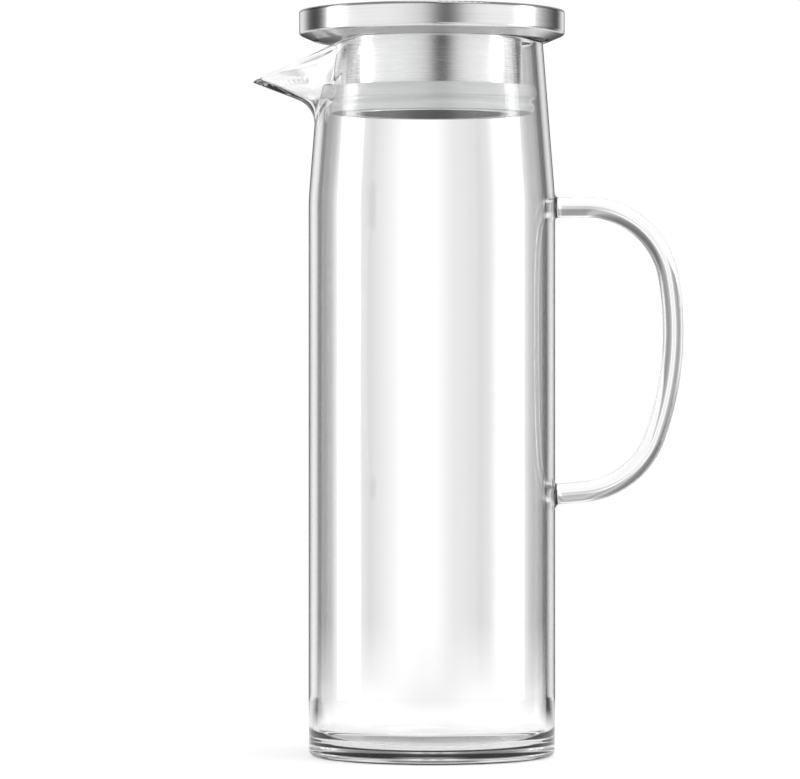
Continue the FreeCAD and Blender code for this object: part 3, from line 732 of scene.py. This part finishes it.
def brushed_steel(name, shade, roughness, streak, painted_edge_shade=False):
    material, finish = new_material(name)
    x, y, z = place_on_piece(finish)
    across = from_axis(x, y)
    fine_height = z * FINE_RINGS + across * FINE_RINGS
    fine = grain(finish, x * 12, y * 12, fine_height, 3.0, Roughness=0.7)
    wide = grain(finish, x * 20, y * 20, z * WIDE_RINGS + across * WIDE_RINGS, 2.0)
    scratches = fine * 0.6 + wide * 0.4
    stops = [(0.25, tuple(c * (1 - streak) for c in shade)), (0.75, shade)]
    tone = finish.value("ShaderNodeValToRGB", {"stops": stops}, Fac=scratches)
    if painted_edge_shade:
        # Painted shade: a dark line is painted into the colour along the turned edge between side
        # and top.
        edge = faded(z, CAP_EDGE_HEIGHT, EDGE_FADE) * faded(across, CAP_EDGE_RADIUS, EDGE_FADE)
        mix = finish.node(
            "ShaderNodeMix",
            {"data_type": "RGBA"},
            Factor=edge * 0.85,
            A=tone,
            B=(0.12, 0.12, 0.12, 1),
        )
        tone = Value(finish, next(o for o in mix.outputs if o.enabled))
    steel = finish.node(
        "ShaderNodeBsdfPrincipled",
        Base_Color=tone,
        Metallic=1.0,
        Roughness=roughness - 0.06 + scratches * 0.12,
        Anisotropic=0.7,
        Anisotropic_Rotation=0.25,
        Normal=finish.value("ShaderNodeBump", Strength=0.25, Distance=0.00004, Height=scratches),
    )
    surface(finish, steel)
    return material


# The cap's colour carries a painted dark line of shade along its top edge.
brushed_cap = brushed_steel("brushed_cap", (0.80, 0.80, 0.81), 0.23, 0.18, painted_edge_shade=True)
dress(nodes["lid_cap"], brushed_cap)
dress(nodes["cap_base_plate"], brushed_steel("satin_plate", (0.74, 0.74, 0.75), 0.32, 0.10))
dress(nodes["lid_sleeve"], brushed_steel("brushed_sleeve", (0.82, 0.82, 0.83), 0.27, 0.14))

# %% [markdown]
# ## The polished disc
# The disc under the core is polished, so it mirrors the inside of the jug. Only a slight smear
# keeps it from being a perfect mirror.


# %% Polished steel
def polished_steel():
    material, finish = new_material("polished_plate")
    x, y, z = place_on_piece(finish)
    smear = grain(finish, x * 90, y * 90, z * 90, 3.0)
    steel = finish.node(
        "ShaderNodeBsdfPrincipled",
        Base_Color=(0.83, 0.83, 0.84, 1),
        Metallic=1.0,
        Roughness=smear * 0.06 + 0.03,
    )
    surface(finish, steel)
    return material


dress(nodes["bottom_plate"], polished_steel())

# %% [markdown]
# ## Plastic core and silicone seal
# The core is hidden by the steel and the seal. It is moulded, slightly glossy plastic with the
# faint texture of a tool. The silicone is frosted: it lets light through but nothing can be seen
# through it, and its skin has a soft gloss.


# %% Plastic
def moulded_plastic():
    material, finish = new_material("core_plastic")
    x, y, z = place_on_piece(finish)
    spots = grain(finish, x * 1500, y * 1500, z * 1500, 2.0)
    plastic = finish.node(
        "ShaderNodeBsdfPrincipled",
        Base_Color=(0.85, 0.85, 0.84, 1),
        Roughness=spots * 0.2 + 0.4,
        Normal=finish.value("ShaderNodeBump", Strength=0.2, Distance=0.00005, Height=spots),
    )
    surface(finish, plastic)
    return material


dress(nodes["lid_core"], moulded_plastic())


# %% Silicone
def frosted_silicone():
    material, finish = new_material("frosted_silicone")
    x, y, z = place_on_piece(finish)
    haze = grain(finish, x * 30, y * 30, z * 120, 2.0)
    stops = [(0.2, (0.93, 0.935, 0.935)), (0.8, (0.965, 0.97, 0.97))]
    silicone = finish.node(
        "ShaderNodeBsdfPrincipled",
        Base_Color=finish.value("ShaderNodeValToRGB", {"stops": stops}, Fac=haze),
        Roughness=haze * 0.06 + 0.32,
        IOR=1.45,
        Transmission_Weight=0.12,
        Coat_Weight=0.8,
        Coat_Roughness=0.16,
        Coat_IOR=1.6,
    )
    surface(finish, silicone)
    return material


dress(nodes["seal_ring"], frosted_silicone())

# %% [markdown]
# ## The camera
# It looks level from a little to the left of the axis and from 1.8 m away. A long lens from far
# away keeps the jug's sides nearly parallel.

# %% Camera
CAMERA_PLACE = (-12.3 * MM, -1790 * MM, 141.4 * MM)
FOCAL_PIXELS, FRAME_PIXELS = 4640, 800
SENSOR_WIDTH = 36.0


def photograph_camera():
    data = bpy.data.cameras.new("camera")
    data.sensor_width = SENSOR_WIDTH
    data.lens = FOCAL_PIXELS * SENSOR_WIDTH / FRAME_PIXELS
    data.clip_end = 50
    camera = bpy.data.objects.new("camera", data)
    camera.location = CAMERA_PLACE
    camera.rotation_euler = (math.pi / 2, 0, 0)
    bpy.context.scene.collection.objects.link(camera)
    bpy.context.scene.camera = camera
    print(f"lens of {data.lens:.1f} mm")


photograph_camera()

# %% [markdown]
# ## The studio
# The floor and the surroundings are white to the camera. Polished things show what stands round
# them, so mirrored rays meet a ring of soft boxes with dark gaps between them, as in a product
# studio. Light that goes straight through the glass meets white, with soft grey beside each box,
# which draws the inner edge of the wall. Diffuse light comes evenly from everywhere, and a large
# lamp above gives a soft shadow.

# %% The ring of soft boxes
# (degrees, brightness) round the object, from 0 towards the camera and growing to the handle.
MIRRORED = [
    (-180, 0.04), (-168, 0.05), (-163, 0.80), (-150, 0.82), (-141, 0.45), (-134, 0.12),
    (-122, 0.02), (-112, 0.10), (-105, 0.60), (-98, 1.0), (-42, 1.0), (-30, 0.95),
    (-17, 0.84), (-9, 0.72), (-3, 0.52), (3, 0.22), (9, 0.04), (15, 0.05), (22, 0.32),
    (30, 0.70), (40, 0.90), (50, 1.0), (90, 1.0), (99, 0.85), (110, 0.48), (122, 0.20),
    (134, 0.05), (142, 0.07), (150, 0.62), (157, 0.85), (163, 0.80), (168, 0.05),
]
# The same for degrees away from straight through, as the wall of an empty jug bends the light.
STRAIGHT_THROUGH = [
    (0.0, 1.0), (0.5, 1.0), (1.2, 0.76), (2.3, 0.58), (2.8, 0.66), (3.4, 0.95),
    (5.4, 1.0), (6.5, 0.84), (8.0, 0.60), (10.5, 0.44), (14.0, 0.34), (20.0, 0.26),
]
BOX_SPACING, REAR_FROM, FRONT_FLOOR = 45.0, 135.0, 0.45
print("stops:", len(MIRRORED), "for mirrored rays,", len(STRAIGHT_THROUGH), "for straight ones")


# %% Turn a direction into brightness
def ramp(finish, fac, stops, first, last):
    """A ramp over first to last, with its stops in the same units."""
    span = last - first
    places = [((place - first) / span, shade) for place, shade in stops]
    return finish.value("ShaderNodeValToRGB", {"stops": places}, Fac=(fac - first) / span)


def degrees_round(x, y):
    return x.math("ARCTAN2", -1.0 * y) * (180 / math.pi)


def mirrored_ring(finish, x, y):
    """What steel and the skin of the glass reflect."""
    return ramp(finish, degrees_round(x, y), MIRRORED, -180, 180)


def ring_through(finish, x, y):
    """What is seen through the glass: white, and grey beside each of eight soft boxes."""
    turn = degrees_round(x, y)
    half = BOX_SPACING / 2
    beside = (turn + (360 + half)).math("MODULO", BOX_SPACING) - half
    shade = ramp(finish, beside.math("ABSOLUTE"), STRAIGHT_THROUGH, 0, half)
    # The grey is deepest behind the object, where the glass looks.
    behind = turn.math("ABSOLUTE").math("GREATER_THAN", REAR_FROM)
    return shade.math("MAXIMUM", FRONT_FLOOR - behind * FRONT_FLOOR)


def blend(low, high, share):
    return (1.0 - share) * low + share * high


# %% Which ray is looking
class Looking:
    """Tells the kinds of rays apart, so that each can meet its own light."""

    def __init__(self, finish):
        rays = finish.node("ShaderNodeLightPath").outputs
        self.camera = Value(finish, rays["Is Camera Ray"])
        glossy = Value(finish, rays["Is Glossy Ray"])
        through = Value(finish, rays["Is Transmission Ray"])
        self.polished = glossy.math("MAXIMUM", through)
        # A ray that was mirrored on its way, also inside the glass, meets the soft boxes.
        self.mirrored = Value(finish, rays["Glossy Depth"]).math("GREATER_THAN", 0.5)


# %% [markdown]
# ## The world's light
# The world is a direction turned into brightness. z is 0 at the horizon and 1 overhead. The ring
# of boxes ends a little above and below the horizon, and plain light takes over there.

# %% World
BOX_STRENGTH, EVEN_STRENGTH = 1.15, 0.85
BEYOND_BOXES, FLOOR_WHITE = 0.85, 0.87
OVERHEAD = [(0.0, 1.0), (0.09, 1.0), (0.16, 0.5), (0.6, 0.42), (0.75, 1.0)]
# Where each fade starts and how long it is, above or below the horizon.
ABOVE_BOXES, BELOW_BOXES, TO_FLOOR = (0.24, 0.2), (0.3, 0.2), (0.05, 0.018)


def studio_world():
    world = bpy.data.worlds.new("studio")
    bpy.context.scene.world = world
    finish = Finish(world)
    x, y, z = split(finish, finish.value("ShaderNodeTexCoord", output=0))
    beyond = faded(z, *ABOVE_BOXES).math("MAXIMUM", faded(-1.0 * z, *BELOW_BOXES))
    mirrored = blend(mirrored_ring(finish, x, y), BEYOND_BOXES, beyond)
    through = ring_through(finish, x, y) * ramp(finish, z, OVERHEAD, 0, 1)
    # Near the floor's edge it fades to the floor's own white.
    through = blend(through, FLOOR_WHITE, faded(-1.0 * z, *TO_FLOOR))
    looking = Looking(finish)
    ring = blend(through, mirrored, looking.mirrored)
    white = (1, 1, 1, 1)
    seen = finish.node("ShaderNodeBackground", Strength=1.0, Color=white)
    even = finish.node("ShaderNodeBackground", Strength=EVEN_STRENGTH, Color=white)
    boxes = finish.node("ShaderNodeBackground", Strength=BOX_STRENGTH, Color=ring)
    lit = finish.mixed(even, boxes, looking.polished)
    out = finish.node("ShaderNodeOutputWorld")
    final = finish.mixed(lit, seen, looking.camera)
    finish.tree.links.new(final.outputs[0], out.inputs["Surface"])
    print("world:", len(finish.tree.nodes), "nodes")


studio_world()

# %% [markdown]
# ## The floor
# The floor is white and keeps the jug's soft shadow. Towards its edge it turns into the white of
# the backdrop, so no horizon shows. Further out, mirrored rays see the ring of boxes go on in it.

# %% Floor
FLOOR_RADIUS, FLOOR_SIDES, FLOOR_DROP = 0.32, 96, 0.0001
GLOW = 0.35
# Where each fade starts and how long it is, in metres from the axis.
RING_FADE, WHITE_FADE = (0.11, 0.12), (0.22, 0.08)


def studio_floor():
    nothing_selected()
    place = (0, 0, -FLOOR_DROP)
    bpy.ops.mesh.primitive_circle_add(
        vertices=FLOOR_SIDES, radius=FLOOR_RADIUS, location=place, fill_type="NGON"
    )
    floor = bpy.context.object
    floor.name = floor.data.name = "studio_floor"
    bpy.ops.object.transform_apply(location=True, rotation=True, scale=True)
    material, finish = new_material("white_floor")
    x, y, _ = place_on_piece(finish)
    across = from_axis(x, y)
    looking = Looking(finish)
    ring_share = faded(across, *RING_FADE) * looking.polished * looking.mirrored
    shade = blend(1.0, mirrored_ring(finish, x, y), ring_share)
    matte = finish.node("ShaderNodeBsdfDiffuse", Color=shade * 0.9)
    white = finish.node("ShaderNodeEmission", Strength=1.0, Color=shade)
    edge = faded(across, *WHITE_FADE)
    surface(finish, finish.mixed(matte, white, edge * (1 - GLOW) + GLOW))
    dress(floor, material)


studio_floor()

# %% [markdown]
# ## The lamps
# One large soft lamp hangs above and makes the shadow. Two tall ones at the sides light the
# frosted seal and the dull steel, and add upright highlights.

# %% Lamps
# Name: place, aim, size, power.
LAMPS = {
    "top_box": ((0.15, -0.2, 1.1), (0, 0, 0.1), (0.8, 0.8), 7.0),
    "left_box": ((-1.25, 0.02, 0.3), (0, 0, 0.15), (0.34, 1.3), 4.4),
    "right_box": ((1.25, -0.05, 0.3), (0, 0, 0.15), (0.30, 1.3), 4.2),
}


def soft_lamp(name, place, aim, size, power):
    data = bpy.data.lights.new(name, "AREA")
    data.shape, data.size, data.size_y, data.energy = "RECTANGLE", size[0], size[1], power
    lamp = bpy.data.objects.new(name, data)
    lamp.location = place
    lamp.rotation_euler = (Vector(aim) - Vector(place)).to_track_quat("-Z", "Y").to_euler()
    bpy.context.scene.collection.objects.link(lamp)
    print(f"{name}: {power} W")


for lamp_name, lamp_settings in LAMPS.items():
    soft_lamp(lamp_name, *lamp_settings)

bpy.context.scene.view_settings.view_transform = "Standard"
